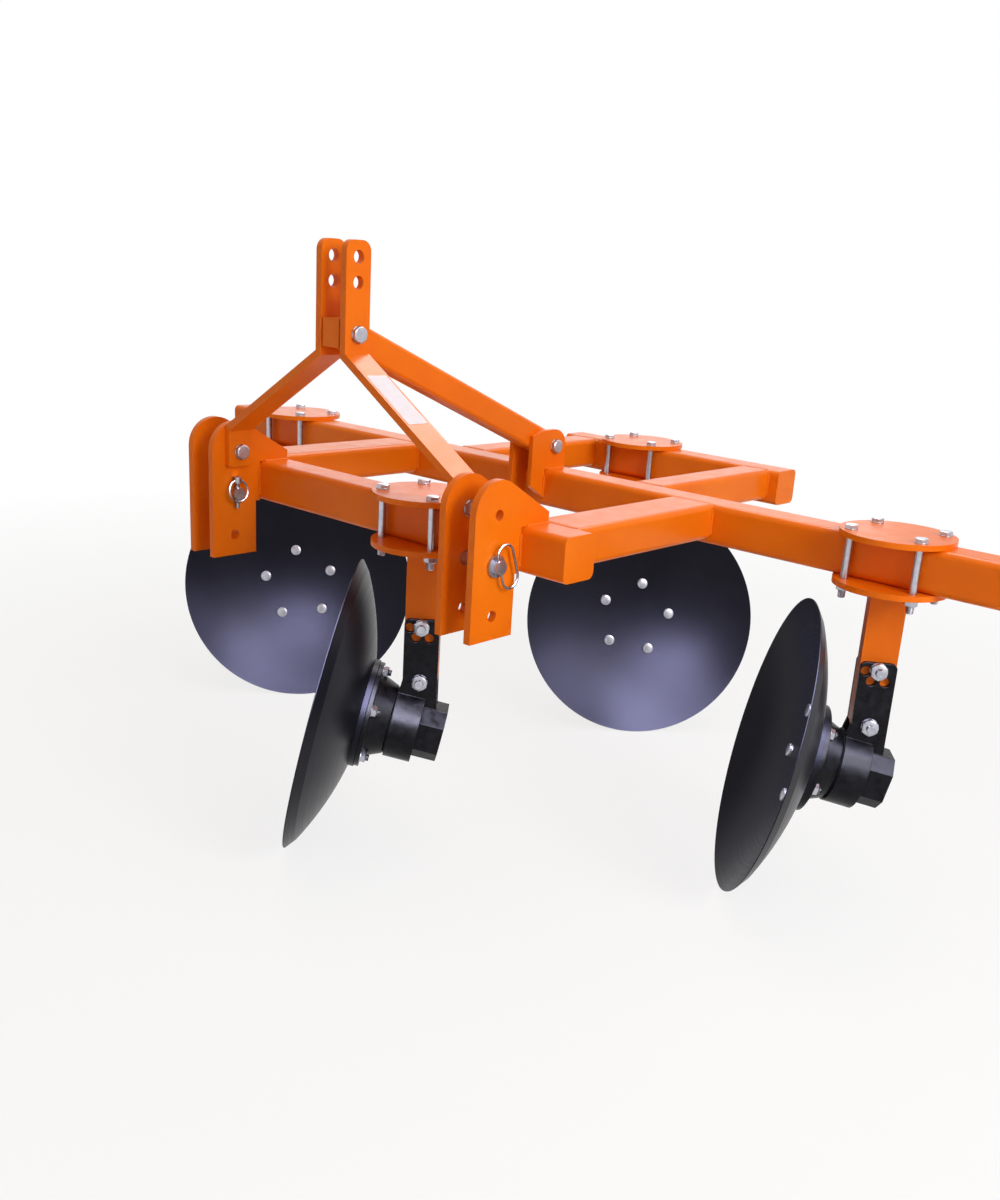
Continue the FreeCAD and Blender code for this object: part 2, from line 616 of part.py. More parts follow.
def unit(name, beam_y, x, angle, side, bolt_turn):
    """One disc with its clamp, shank, carrier and hub."""
    turn = -90 + side * angle
    save("clamp_top_" + name, place(clamp_plate(0), x, beam_y, 0))

    bar = shank_bar()
    bar.rotate(Vector(0, 0, 0), Z, turn)
    save("shank_" + name, place(clamp_plate(-TUBE - CLAMP_T).fuse(bar), x, beam_y, 0))

    grip = SHANK_W + 2 * (CHEEK_PLAY + CHEEK_T)
    bolts = [place(bolt, x, beam_y, 0) for bolt in clamp_bolts()]
    for z in (-PIVOT_DROP, LOCK_ROW_R - PIVOT_DROP):
        bolt = cross_bolt(BIG_BOLT_R, BIG_BOLT_FLATS, grip, Z * z, Y * side)
        bolts.append(place(bolt, x, beam_y, turn))
    save("unit_bolts_" + name, *bolts)
    save("hub_carrier_" + name, place(hub_carrier(), x, beam_y, turn))
    save("hub_" + name, place(hub(bolt_turn), x, beam_y, turn))
    save("disc_" + name, place(disc(bolt_turn), x, beam_y, turn))


os.makedirs("parts", exist_ok=True)
frame()
lower_hitch()
mast()
for entry in UNITS:
    unit(*entry)
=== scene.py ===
import bpy
import bmesh
import json
import math
from mathutils import Matrix, Vector

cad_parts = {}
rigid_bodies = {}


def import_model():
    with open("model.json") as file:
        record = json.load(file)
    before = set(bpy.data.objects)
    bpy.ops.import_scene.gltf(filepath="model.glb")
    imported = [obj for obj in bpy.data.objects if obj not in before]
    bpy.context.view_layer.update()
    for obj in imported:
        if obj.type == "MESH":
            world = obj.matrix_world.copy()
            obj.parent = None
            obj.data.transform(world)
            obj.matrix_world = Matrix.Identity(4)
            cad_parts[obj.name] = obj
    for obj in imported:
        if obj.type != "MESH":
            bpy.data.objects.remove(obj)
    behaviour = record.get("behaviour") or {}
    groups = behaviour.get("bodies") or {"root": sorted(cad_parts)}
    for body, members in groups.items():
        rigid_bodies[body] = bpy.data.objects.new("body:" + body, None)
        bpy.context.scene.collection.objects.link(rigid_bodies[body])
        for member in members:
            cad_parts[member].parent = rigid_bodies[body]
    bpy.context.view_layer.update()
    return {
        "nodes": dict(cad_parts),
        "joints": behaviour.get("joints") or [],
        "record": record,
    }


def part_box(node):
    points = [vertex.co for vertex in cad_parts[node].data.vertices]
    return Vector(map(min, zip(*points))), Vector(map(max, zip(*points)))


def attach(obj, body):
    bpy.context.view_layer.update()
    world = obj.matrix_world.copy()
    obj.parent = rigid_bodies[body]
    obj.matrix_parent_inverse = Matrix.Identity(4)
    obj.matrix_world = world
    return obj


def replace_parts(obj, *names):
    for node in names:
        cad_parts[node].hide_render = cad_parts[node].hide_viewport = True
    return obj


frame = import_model()

# Disc ridger. Lengths in metres, in the frame of the CAD: +X is the driver's left,
# +Y points rearwards, +Z up, the ground is Z = 0.

MM = 0.001
X = Vector((1, 0, 0))
Y = Vector((0, 1, 0))
Z = Vector((0, 0, 1))
UNITS = ("right", "front", "rear", "left")

# Disc, hub and bearing housing, as the source has them
DISH_R = 640 * MM             # radius of the ball that the dish is part of
DISC_R = 330 * MM
DISH_DEPTH = DISH_R - math.sqrt(DISH_R ** 2 - DISC_R ** 2)
HUB_BEHIND = 97.9 * MM        # the flange's front face, behind the rim centre
FLANGE_T = 10 * MM
HOUSING_FACE = 153.5 * MM     # the bearing housing's front face and its middle, likewise
HOUSING_MIDDLE = 181 * MM
HOUSING_R = 82 * MM

# Disc bolts, as the source places them
BOLT_RING = 102 * MM
BOLT_COUNT = 5
BOLT_TURNS = {"right": -6, "front": -8, "rear": 10, "left": 36}   # degrees
HEAD_R = 15 * MM
HEAD_H = 6 * MM
HEAD_SUNK = 3 * MM            # how far a head reaches down into the curved dish
NUT_FLATS = 22 * MM
NUT_H = 12 * MM
STUD_R = 7 * MM
STUD_PAST_NUT = 7 * MM

# Shank, clamp and mast, as the source has them
SHANK_U = 76 * MM             # width of the shank's flat side, and its thickness
SHANK_W = 35 * MM
CLAMP_T = 12 * MM             # round clamp plate
MAST_BAR_T = 16 * MM
MAST_GAP = 30 * MM            # from the middle of the mast to a bar's inner face
MAST_BEND = 228 * MM          # the upper bend, below the bar's top end
MAST_LEG_DROP = 199 * MM      # height between the bends

# Finish of the small parts
COVER = 0.3 * MM              # a drawn bolt stands this much proud of its CAD form
WASHER_T = 2.5 * MM
WASHER_EDGE = 0.5 * MM
WASHER_REACH = 0.56           # its radius against the nut's flats
DISC_WASHER_REACH = 0.62
ACROSS_CORNERS = 1.1547       # of a hexagon, against its width across flats
THREAD_PITCH = 2.5 * MM
THREAD_DEPTH = 0.6 * MM
THREAD_SHOWS = 2 * THREAD_PITCH   # a shorter rod end past its nut is left out
UPRIGHT_BOLT = 100 * MM       # a unit's bolt taller than this is one of the clamp's
NIPPLE_FLATS = 10 * MM
NIPPLE_H = 6 * MM

# Weld beads
RIPPLE = 3.2 * MM             # one ripple of a bead
BEAD_R = 4 * MM
SHANK_BEAD_R = 5 * MM
BEAM_CORNER = 14 * MM         # a beam's rounded corner, where a bead along a face stops
RAIL_CORNER = 12 * MM

# Blank decal, measured down the mast leg from its upper bend
DECAL_FROM = 78 * MM
DECAL_TO = 228 * MM
DECAL_W = 52 * MM
DECAL_T = 0.3 * MM
DECAL_CORNER = 5 * MM


# ---------------------------------------------------------------- meshes

def turned(bm, base, axis, profile, count=24, flats=False, ring=False):
    """Skin round an axis. profile holds (distance along the axis, radius); flats gives a hexagon,
    ring closes the profile on itself and leaves the middle open."""
    axis = axis.normalized()
    side = (Z if abs(axis.z) < 0.9 else X).cross(axis).normalized()
    other = axis.cross(side)
    rows = []
    for distance, radius in profile:
        row = []
        for i in range(count):
            turn = 2 * math.pi * i / count
            reach = radius
            if flats:
                off = (turn + math.pi / 6) % (math.pi / 3) - math.pi / 6
                reach = min(radius / math.cos(off), flats)
            spot = base + axis * distance + (side * math.cos(turn) + other * math.sin(turn)) * reach
            row.append(bm.verts.new(spot))
        rows.append(row)
    for low, high in zip(rows, rows[1:] + rows[:1] if ring else rows[1:]):
        for i in range(count):
            j = (i + 1) % count
            bm.faces.new((low[i], low[j], high[j], high[i]))
    if not ring:
        bm.faces.new(list(reversed(rows[0])))
        bm.faces.new(rows[-1])


def finish_piece(bm, name, body, material, smooth_below=35):
    """Turns a mesh under construction into a piece that rides on a body."""
    bmesh.ops.recalc_face_normals(bm, faces=bm.faces)
    data = bpy.data.meshes.new(name)
    bm.to_mesh(data)
    bm.free()
    data.materials.append(material)
    data.shade_smooth()
    data.set_sharp_from_angle(angle=math.radians(smooth_below))
    piece = bpy.data.objects.new(name, data)
    bpy.context.scene.collection.objects.link(piece)
    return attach(piece, body)


def hexagon(bm, base, axis, flats, height, chamfer=1.6 * MM):
    """Bolt head or nut: flats with both ends turned back at the corners."""
    half = flats / 2
    shoulder = height - chamfer
    turned(bm, base, axis, ((0, half * 0.97), (0, half), (shoulder, half)), 24,
           half * ACROSS_CORNERS)
    turned(bm, base + axis * shoulder, axis, ((0, half * 1.08), (chamfer, half * 0.93)), 24)


def washer(bm, base, axis, radius):
    turned(bm, base, axis, ((0, radius), (WASHER_T - WASHER_EDGE, radius),
                            (WASHER_T, radius - WASHER_EDGE)), 28)


def threaded(bm, base, axis, radius, length):
    """Rod end with its thread drawn as rings one pitch apart."""
    root = radius - THREAD_DEPTH
    turns = max(1, int(length / THREAD_PITCH))
    profile = []
    for i in range(turns):
        start = i * THREAD_PITCH
        profile += [(start, root), (start + THREAD_PITCH / 2, radius + COVER)]
    profile += [(turns * THREAD_PITCH, root), (length, root - THREAD_DEPTH)]
    turned(bm, base, axis, profile, 16)


def bead(bm, points, radius=BEAD_R):
    """Rippled weld bead along straight runs."""
    for start, end in zip(points, points[1:]):
        run = end - start
        steps = max(2, round(run.length / (RIPPLE / 2)))
        profile = [(run.length * i / steps, radius * (1.0 if i % 2 else 0.84))
                   for i in range(steps + 1)]
        turned(bm, start, run, profile, 8)


# ---------------------------------------------------------------- bolts read from the CAD

def loose_solids(node):
    """The points of each separate solid of a CAD node."""
    data = frame["nodes"][node].data
    welded = {}
    leader = list(range(len(data.vertices)))

    def top(i):
        while leader[i] != i:
            leader[i] = leader[leader[i]]
            i = leader[i]
        return i

    for vertex in data.vertices:
        key = tuple(round(c, 5) for c in vertex.co)
        leader[top(vertex.index)] = top(welded.setdefault(key, vertex.index))
    for edge in data.edges:
        leader[top(edge.vertices[0])] = top(edge.vertices[1])
    groups = {}
    for vertex in data.vertices:
        groups.setdefault(top(vertex.index), []).append(vertex.co.copy())
    return list(groups.values())


def read_bolt(points, axis):
    """Rod and hexagon sizes of a bolt that lies along axis, head or nut at each end."""
    low = Vector(map(min, *points))
    high = Vector(map(max, *points))
    centre = (low + high) / 2
    along = [(p - centre).dot(axis) for p in points]
    off = [((p - centre) - axis * a).length for p, a in zip(points, along)]
    reach = max(off)
    wide = [a for a, r in zip(along, off) if r > reach * 0.9]
    upper = [a for a in wide if a > 0]
    lower = [a for a in wide if a < 0]
    return {"centre": centre, "axis": axis, "rod": min(off), "flats": reach * math.sqrt(3),
            "upper": (min(upper), max(upper)), "lower": (min(lower), max(lower)),
            "ends": (min(along), max(along))}


def draw_bolt(bm, bolt):
    """Chamfered head and nut with washers on a rod; a rod end that passes its nut is threaded."""
    centre, axis, rod = bolt["centre"], bolt["axis"], bolt["rod"]
    low, high = bolt["ends"]
    between = bolt["upper"][0] - bolt["lower"][1]
    turned(bm, centre + axis * bolt["lower"][1], axis, ((0, rod), (between, rod)), 20)
    for (near, far), way, end in ((bolt["upper"], axis, high), (bolt["lower"], -axis, low)):
        height = far - near
        start = centre + way * (near if way is axis else -far)
        hexagon(bm, start, way, bolt["flats"] + 2 * COVER, height + COVER)
        washer(bm, start, way, bolt["flats"] * WASHER_REACH)
        tail = end - far if way is axis else near - end
        if tail > THREAD_SHOWS:
            threaded(bm, start + way * height, way, rod, tail)


def hub_of(name):
    """Rim centre, axis out of the hollow face, upward and sideways directions of a unit."""
    joint = next(j for j in frame["joints"] if j["name"] == "disc_spin_" + name)
    axis = Vector(joint["axis"])
    side = Z.cross(axis).normalized()
    return Vector(joint["pos_m"]), axis, axis.cross(side), side


# ---------------------------------------------------------------- materials

def linear(hex_colour):
    """sRGB hex to linear RGBA."""
    parts = [int(hex_colour[i:i + 2], 16) / 255 for i in (1, 3, 5)]
    return [c / 12.92 if c <= 0.04045 else ((c + 0.055) / 1.055) ** 2.4 for c in parts] + [1.0]


def add(tree, kind, inputs=None, **settings):
    """Adds a node; an input is given a value or the socket that feeds it."""
    made = tree.nodes.new(kind)
    for key, value in settings.items():
        setattr(made, key, value)
    for key, value in (inputs or {}).items():
        if isinstance(value, bpy.types.NodeSocket):
            tree.links.new(value, made.inputs[key])
        else:
            made.inputs[key].default_value = value
    return made


def bare_material(name):
    material = bpy.data.materials.new(name)
    material.use_nodes = True
    tree = material.node_tree
    tree.nodes.clear()
    return material, tree


def per_mm(size):
    """Noise scale whose grains are about size millimetres across."""
    return 1000.0 / size


def powder_coated_steel():
    """Steel sprayed with polyester powder and baked: an even bright orange, glossy, with faint
    orange peel and soft edges where the coat is thick."""
    material, tree = bare_material("powder_coated_steel")
    where = add(tree, "ShaderNodeTexCoord").outputs["Object"]
    cloud = add(tree, "ShaderNodeTexNoise", {"Vector": where, "Scale": per_mm(160), "Detail": 3.0})
    tone = add(tree, "ShaderNodeValToRGB", {"Fac": cloud.outputs["Fac"]})
    tone.color_ramp.elements[0].position = 0.35
    tone.color_ramp.elements[0].color = linear("#EC700C")
    tone.color_ramp.elements[1].position = 0.65
    tone.color_ramp.elements[1].color = linear("#F2780F")
    smear = add(tree, "ShaderNodeTexNoise", {"Vector": where, "Scale": per_mm(35), "Detail": 4.0})
    gloss = add(tree, "ShaderNodeMapRange", {"Value": smear.outputs["Fac"], "From Min": 0.3,
                                             "From Max": 0.7, "To Min": 0.28, "To Max": 0.38})
    # Orange peel is 1 to 2 mm across; drawn at 4 mm so that it shows
    peel = add(tree, "ShaderNodeTexNoise", {"Vector": where, "Scale": per_mm(4), "Detail": 1.0})
    softened = add(tree, "ShaderNodeBevel", {"Radius": 1.4 * MM}, samples=6)
    bump = add(tree, "ShaderNodeBump", {"Height": peel.outputs["Fac"], "Distance": 0.03 * MM,
                                        "Normal": softened.outputs["Normal"]})
    paint = add(tree, "ShaderNodeBsdfPrincipled", {
        "Base Color": tone.outputs["Color"], "Roughness": gloss.outputs["Result"],
        "Normal": bump.outputs["Normal"], "Specular IOR Level": 0.12, "Coat Weight": 0.06,
        "Coat Roughness": 0.1})
    add(tree, "ShaderNodeOutputMaterial", {"Surface": paint.outputs["BSDF"]})
    return material


def enamelled_casting():
    """Iron cast in sand and dipped in gloss black enamel: deep black with pale blue glints, the
    sand's grain showing through, edges rounded by the pattern."""
    material, tree = bare_material("enamelled_casting")
    where = add(tree, "ShaderNodeTexCoord").outputs["Object"]
    sand = add(tree, "ShaderNodeTexNoise", {"Vector": where, "Scale": per_mm(2.2), "Detail": 3.0})
    pool = add(tree, "ShaderNodeTexNoise", {"Vector": where, "Scale": per_mm(18), "Detail": 3.0})
    tone = add(tree, "ShaderNodeValToRGB", {"Fac": pool.outputs["Fac"]})
    tone.color_ramp.elements[0].position = 0.35
    tone.color_ramp.elements[0].color = linear("#0C0C10")
    tone.color_ramp.elements[1].position = 0.65
    tone.color_ramp.elements[1].color = linear("#15151B")
    gloss = add(tree, "ShaderNodeMapRange", {"Value": pool.outputs["Fac"], "From Min": 0.3,
                                             "From Max": 0.7, "To Min": 0.24, "To Max": 0.4})
    softened = add(tree, "ShaderNodeBevel", {"Radius": 2.5 * MM}, samples=6)
    bump = add(tree, "ShaderNodeBump", {"Height": sand.outputs["Fac"], "Distance": 0.16 * MM,
                                        "Normal": softened.outputs["Normal"]})
    enamel = add(tree, "ShaderNodeBsdfPrincipled", {
        "Base Color": tone.outputs["Color"], "Roughness": gloss.outputs["Result"],
        "Normal": bump.outputs["Normal"], "Specular IOR Level": 0.11})
    add(tree, "ShaderNodeOutputMaterial", {"Surface": enamel.outputs["BSDF"]})
    return material


def zinc_plated_steel():
    """Steel bolts and pins, bright zinc plated: cool pale metal with a slightly cloudy gloss."""
    material, tree = bare_material("zinc_plated_steel")
    where = add(tree, "ShaderNodeTexCoord").outputs["Object"]
    cloud = add(tree, "ShaderNodeTexNoise", {"Vector": where, "Scale": per_mm(9), "Detail": 2.0})
    tone = add(tree, "ShaderNodeValToRGB", {"Fac": cloud.outputs["Fac"]})
    tone.color_ramp.elements[0].position = 0.35
    tone.color_ramp.elements[0].color = linear("#B0B1BB")
    tone.color_ramp.elements[1].position = 0.65
    tone.color_ramp.elements[1].color = linear("#C2C3CC")
    gloss = add(tree, "ShaderNodeMapRange", {"Value": cloud.outputs["Fac"], "From Min": 0.3,
                                             "From Max": 0.7, "To Min": 0.29, "To Max": 0.36})
    grain = add(tree, "ShaderNodeTexNoise", {"Vector": where, "Scale": per_mm(1.5), "Detail": 2.0})
    softened = add(tree, "ShaderNodeBevel", {"Radius": 0.5 * MM}, samples=4)
    bump = add(tree, "ShaderNodeBump", {"Height": grain.outputs["Fac"], "Distance": 0.005 * MM,
                                        "Normal": softened.outputs["Normal"]})
    plated = add(tree, "ShaderNodeBsdfPrincipled", {
        "Base Color": tone.outputs["Color"], "Metallic": 1.0, "Roughness": gloss.outputs["Result"],
        "Normal": bump.outputs["Normal"]})
    add(tree, "ShaderNodeOutputMaterial", {"Surface": plated.outputs["BSDF"]})
    return material


def spring_wire():
    """Linch pins and rings of hard drawn spring steel, oiled and left bare: a dark warm grey metal
    that mirrors what is round it along its length."""
    material, tree = bare_material("spring_wire")
    where = add(tree, "ShaderNodeTexCoord").outputs["Object"]
    stain = add(tree, "ShaderNodeTexNoise", {"Vector": where, "Scale": per_mm(6), "Detail": 4.0})
    tone = add(tree, "ShaderNodeValToRGB", {"Fac": stain.outputs["Fac"]})
    tone.color_ramp.elements[0].position = 0.35
    tone.color_ramp.elements[0].color = linear("#6A5F58")
    tone.color_ramp.elements[1].position = 0.65
    tone.color_ramp.elements[1].color = linear("#8C837C")
    gloss = add(tree, "ShaderNodeMapRange", {"Value": stain.outputs["Fac"], "From Min": 0.3,
                                             "From Max": 0.7, "To Min": 0.25, "To Max": 0.4})
    drawn = add(tree, "ShaderNodeTexNoise", {"Vector": where, "Scale": per_mm(1), "Detail": 2.0})
    bump = add(tree, "ShaderNodeBump", {"Height": drawn.outputs["Fac"], "Distance": 0.01 * MM})
    wire = add(tree, "ShaderNodeBsdfPrincipled", {
        "Base Color": tone.outputs["Color"], "Metallic": 1.0, "Roughness": gloss.outputs["Result"],
        "Normal": bump.outputs["Normal"]})
    add(tree, "ShaderNodeOutputMaterial", {"Surface": wire.outputs["BSDF"]})
    return material


def nitrile_rubber():
    """Moulded nitrile seal: dull black, the surface as matt as its mould."""
    material, tree = bare_material("nitrile_rubber")
    where = add(tree, "ShaderNodeTexCoord").outputs["Object"]
    mould = add(tree, "ShaderNodeTexNoise", {"Vector": where, "Scale": per_mm(2), "Detail": 2.0})
    tone = add(tree, "ShaderNodeValToRGB", {"Fac": mould.outputs["Fac"]})
    tone.color_ramp.elements[0].color = linear("#0E0E0F")
    tone.color_ramp.elements[1].color = linear("#171718")
    rubber = add(tree, "ShaderNodeBsdfPrincipled", {"Base Color": tone.outputs["Color"],
                                                    "Roughness": 0.6, "Specular IOR Level": 0.2})
    add(tree, "ShaderNodeOutputMaterial", {"Surface": rubber.outputs["BSDF"]})
    return material


def blank_vinyl():
    """Calendered vinyl film with nothing printed on it: pale, satin, faintly uneven from the
    paint under it."""
    material, tree = bare_material("blank_vinyl")
    where = add(tree, "ShaderNodeTexCoord").outputs["Object"]
    ripple = add(tree, "ShaderNodeTexNoise", {"Vector": where, "Scale": per_mm(14), "Detail": 2.0})
    tone = add(tree, "ShaderNodeValToRGB", {"Fac": ripple.outputs["Fac"]})
    tone.color_ramp.elements[0].color = linear("#CFC6C8")
    tone.color_ramp.elements[1].color = linear("#DCD4D6")
    bump = add(tree, "ShaderNodeBump", {"Height": ripple.outputs["Fac"], "Distance": 0.05 * MM})
    film = add(tree, "ShaderNodeBsdfPrincipled", {
        "Base Color": tone.outputs["Color"], "Roughness": 0.5, "Specular IOR Level": 0.08,
        "Normal": bump.outputs["Normal"]})
    add(tree, "ShaderNodeOutputMaterial", {"Surface": film.outputs["BSDF"]})
    return material


def disc_enamel(name):
    """Pressed steel disc, spun to shape and dipped in satin black: faint rings about the middle,
    and a violet grey sheen where light grazes the dish."""
    centre, axis = hub_of(name)[:2]
    material, tree = bare_material("disc_enamel_" + name)
    where = add(tree, "ShaderNodeTexCoord").outputs["Object"]
    arm = add(tree, "ShaderNodeVectorMath", {0: where, 1: tuple(centre)}, operation="SUBTRACT")
    across = add(tree, "ShaderNodeVectorMath", {0: arm.outputs["Vector"], 1: tuple(axis)},
                 operation="CROSS_PRODUCT")
    radius = add(tree, "ShaderNodeVectorMath", {0: across.outputs["Vector"]}, operation="LENGTH")
    # The spinning marks die out over the middle, where the press held the blank
    reach = add(tree, "ShaderNodeMath", {0: radius.outputs["Value"], 1: 25 * MM},
                operation="MAXIMUM")
    rings = add(tree, "ShaderNodeTexNoise", {"W": reach.outputs["Value"], "Scale": per_mm(5),
                                             "Detail": 3.0}, noise_dimensions="1D")
    dip = add(tree, "ShaderNodeTexNoise", {"Vector": where, "Scale": per_mm(70), "Detail": 3.0})
    tone = add(tree, "ShaderNodeValToRGB", {"Fac": dip.outputs["Fac"]})
    tone.color_ramp.elements[0].position = 0.35
    tone.color_ramp.elements[0].color = linear("#0D0D11")
    tone.color_ramp.elements[1].position = 0.65
    tone.color_ramp.elements[1].color = linear("#121217")
    gloss = add(tree, "ShaderNodeMapRange", {"Value": rings.outputs["Fac"], "From Min": 0.3,
                                             "From Max": 0.7, "To Min": 0.30, "To Max": 0.37})
    softened = add(tree, "ShaderNodeBevel", {"Radius": 0.8 * MM}, samples=4)
    # The middle of the dish is as smooth as the ball that pressed it
    ball_centre = tuple(centre + axis * (DISH_R - DISH_DEPTH))
    ball = add(tree, "ShaderNodeVectorMath", {0: ball_centre, 1: where}, operation="SUBTRACT")
    ball = add(tree, "ShaderNodeVectorTransform", {"Vector": ball.outputs["Vector"]},
               vector_type="NORMAL", convert_from="OBJECT", convert_to="WORLD")
    ball = add(tree, "ShaderNodeVectorMath", {0: ball.outputs["Vector"]}, operation="NORMALIZE")
    middle = add(tree, "ShaderNodeMapRange", {"Value": radius.outputs["Value"], "From Min": 23 * MM,
                                              "From Max": 34 * MM})
    facing = add(tree, "ShaderNodeMix", {0: middle.outputs["Result"], 4: ball.outputs["Vector"],
                                         5: softened.outputs["Normal"]}, data_type="VECTOR")
    bump = add(tree, "ShaderNodeBump", {"Height": rings.outputs["Fac"], "Distance": 0.02 * MM,
                                        "Normal": facing.outputs[1]})
    enamel = add(tree, "ShaderNodeBsdfPrincipled", {
        "Base Color": tone.outputs["Color"], "Roughness": gloss.outputs["Result"],
        "Normal": bump.outputs["Normal"], "Specular IOR Level": 0.15,
        "Specular Tint": linear("#E2E2FF")})
    add(tree, "ShaderNodeOutputMaterial", {"Surface": enamel.outputs["BSDF"]})
    return material


POWDER_COAT = powder_coated_steel()
CASTING = enamelled_casting()
ZINC = zinc_plated_steel()
WIRE = spring_wire()
RUBBER = nitrile_rubber()
VINYL = blank_vinyl()


def dress_cad():
    """Gives every CAD node its finish. Each disc has its own, centred on it."""
    by_slot = {"orange_paint": POWDER_COAT, "black_paint": CASTING, "zinc_plate": ZINC}
    for row in frame["record"]["subparts"]:
        node = row["node"]
        finish = by_slot.get(row["material_slot"]) or disc_enamel(node.replace("disc_", ""))
        if node == "linch_pins":
            finish = WIRE
        piece = frame["nodes"][node]
        piece.data.materials.clear()
        piece.data.materials.append(finish)


# ---------------------------------------------------------------- added pieces

def disc_bolts(name):
    """Domed heads in the hollow of the disc, nuts and thread ends behind the flange."""
    centre, axis, up, side = hub_of(name)
    bm = bmesh.new()
    hollow = math.sqrt(DISH_R ** 2 - BOLT_RING ** 2) - (DISH_R - DISH_DEPTH)
    edge = HEAD_R + COVER
    dome = [(-HEAD_SUNK, edge), (HEAD_H - 1.2 * MM, edge), (HEAD_H, edge * 0.95),
            (HEAD_H + 0.7 * MM, edge * 0.82), (HEAD_H + 1.2 * MM, edge * 0.6),
            (HEAD_H + 1.5 * MM, edge * 0.3)]
    for i in range(BOLT_COUNT):
        turn = math.radians(BOLT_TURNS[name]) + 2 * math.pi * i / BOLT_COUNT
        arm = (up * math.cos(turn) + side * math.sin(turn)) * BOLT_RING
        turned(bm, centre + arm - axis * hollow, axis, dome, 28)
        back = centre + arm - axis * (HUB_BEHIND + FLANGE_T)
        washer(bm, back, -axis, NUT_FLATS * DISC_WASHER_REACH)
        hexagon(bm, back, -axis, NUT_FLATS + 2 * COVER, NUT_H + COVER)
        threaded(bm, back - axis * NUT_H, -axis, STUD_R, STUD_PAST_NUT + COVER)
    return finish_piece(bm, "disc_bolts_" + name, "disc_body_" + name, ZINC)


def unit_fasteners(name):
    """Clamp bolts, upright, and the two cross bolts of the tilt bracket."""
    side = hub_of(name)[3]
    bm = bmesh.new()
    for points in loose_solids("unit_bolts_" + name):
        low = Vector(map(min, *points))
        high = Vector(map(max, *points))
        upright = high.z - low.z > UPRIGHT_BOLT
        draw_bolt(bm, read_bolt(points, Z if upright else side))
    piece = finish_piece(bm, "fasteners_" + name, "frame", ZINC)
    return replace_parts(piece, "unit_bolts_" + name)


def mast_fasteners():
    """Bolts across the mast: the strut's two and the tabs' two."""
    bm = bmesh.new()
    for points in loose_solids("mast_bolts"):
        draw_bolt(bm, read_bolt(points, X))
    piece = finish_piece(bm, "fasteners_mast", "frame", ZINC)
    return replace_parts(piece, "mast_bolts")


def grease_nipple(name):
    """Nipple screwed into the side of the bearing housing: a hexagon, a neck and a ball."""
    centre, axis, up, side = hub_of(name)
    out = (up * 0.5 + side * (-1 if name in ("front", "left") else 1)).normalized()
    base = centre - axis * HOUSING_MIDDLE + out * (HOUSING_R - 1 * MM)
    bm = bmesh.new()
    hexagon(bm, base, out, NIPPLE_FLATS, NIPPLE_H, 1 * MM)
    profile = [(NIPPLE_H, 3.4 * MM), (9 * MM, 3.2 * MM), (11 * MM, 2.2 * MM), (13 * MM, 3.0 * MM),
               (14.5 * MM, 2.8 * MM), (15.5 * MM, 1.4 * MM)]
    turned(bm, base, out, profile, 16)
    return finish_piece(bm, "grease_nipple_" + name, "frame", ZINC)


def lip_seal(name):
    """Dust seal on the housing's front face; its lip stops just short of the turning boss."""
    centre, axis = hub_of(name)[:2]
    bm = bmesh.new()
    profile = [(0, 76 * MM), (1.2 * MM, 76.5 * MM), (2 * MM, 75 * MM), (2 * MM, 62 * MM),
               (0, 60 * MM)]
    turned(bm, centre - axis * HOUSING_FACE, axis, profile, 48, ring=True)
    return finish_piece(bm, "lip_seal_" + name, "frame", RUBBER)


def hitch_welds(bm):
    """Both sides of each hitch plate, up the front beam's face and back along its top."""
    beam_low, beam_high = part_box("front_beam")
    for node in [n for n in frame["nodes"] if n.startswith("hitch_plate_")]:
        low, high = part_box(node)
        for x in (low.x, high.x):
            bead(bm, [Vector((x, beam_low.y, beam_low.z + BEAM_CORNER)),
                      Vector((x, beam_low.y, beam_high.z - BEAM_CORNER))])
            bead(bm, [Vector((x, beam_low.y + BEAM_CORNER, beam_high.z)),
                      Vector((x, high.y, beam_high.z))])


def rail_welds(bm):
    """Round the ends of each rail, with two fat beads that fill the groove over the beams' round
    top corners."""
    groove = ((4 * MM, 5 * MM, 6 * MM), (-1 * MM, 4 * MM, 5 * MM))   # outwards, down, radius
    for node in [n for n in frame["nodes"] if "_rail_" in n]:
        low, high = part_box(node)
        left, right = low.x + RAIL_CORNER, high.x - RAIL_CORNER
        for y, outwards in ((low.y, -1), (high.y, 1)):
            for shift, drop, radius in groove:
                seam = [(low.x + 2 * MM, drop + 6 * MM), (left, drop), (right, drop),
                        (high.x - 2 * MM, drop + 6 * MM)]
                bead(bm, [Vector((x, y + outwards * shift, high.z - down)) for x, down in seam],
                     radius)
            for x in (low.x, high.x):
                bead(bm, [Vector((x, y, high.z - RAIL_CORNER)),
                          Vector((x, y, low.z + RAIL_CORNER))])
            bead(bm, [Vector((left, y, low.z)), Vector((right, y, low.z))])


def lug_welds(bm):
    """Along the strut lugs on the toolbar's top and down its front."""
    low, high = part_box("strut_lugs")
    bar_low, bar_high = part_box("main_toolbar")
    for x in (low.x, high.x):
        bead(bm, [Vector((x, bar_low.y + BEAM_CORNER, bar_high.z)),
                  Vector((x, high.y - 2 * MM, bar_high.z))])
        bead(bm, [Vector((x, bar_low.y, bar_high.z - BEAM_CORNER)),
                  Vector((x, bar_low.y, low.z + 3 * MM))])


